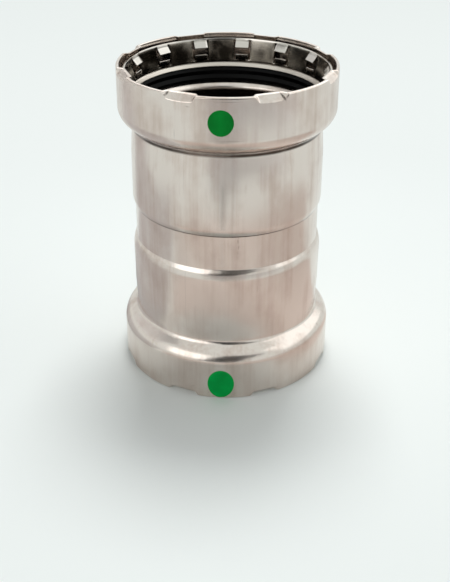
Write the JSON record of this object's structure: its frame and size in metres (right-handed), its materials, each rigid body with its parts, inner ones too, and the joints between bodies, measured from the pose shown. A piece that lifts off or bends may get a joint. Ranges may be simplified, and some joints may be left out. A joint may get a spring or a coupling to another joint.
{
  "type": "press coupling",
  "caption": "Large-bore stainless steel press coupling with a stop in its middle, and in each wide end a toothed grip ring, a separator ring and a lipped rubber seal held by crimps.",
  "frame": {"origin": "middle of the coupling, on its axis", "axes": "+Z along the axis towards the end that points up in the picture, -Y towards the side with the two marks"},
  "size_m": [0.1342, 0.1344, 0.197],
  "materials": {
    "stainless_steel": "satin, cold formed and pickled stainless steel",
    "grip_ring_steel": "bare hardened stainless spring strip",
    "separator_steel": "bare stainless strip",
    "seal_rubber": "black moulded rubber",
    "green_film": "thin green film, a coloured spot near each end"
  },
  "bodies": {
    "root": {"body": "stainless_steel", "grip_ring_upper": "grip_ring_steel", "grip_ring_lower": "grip_ring_steel", "separator_ring_upper": "separator_steel", "separator_ring_lower": "separator_steel", "seal_upper": "seal_rubber", "seal_lower": "seal_rubber", "mark_upper": "green_film", "mark_lower": "green_film"}
  },
  "joints": []
}
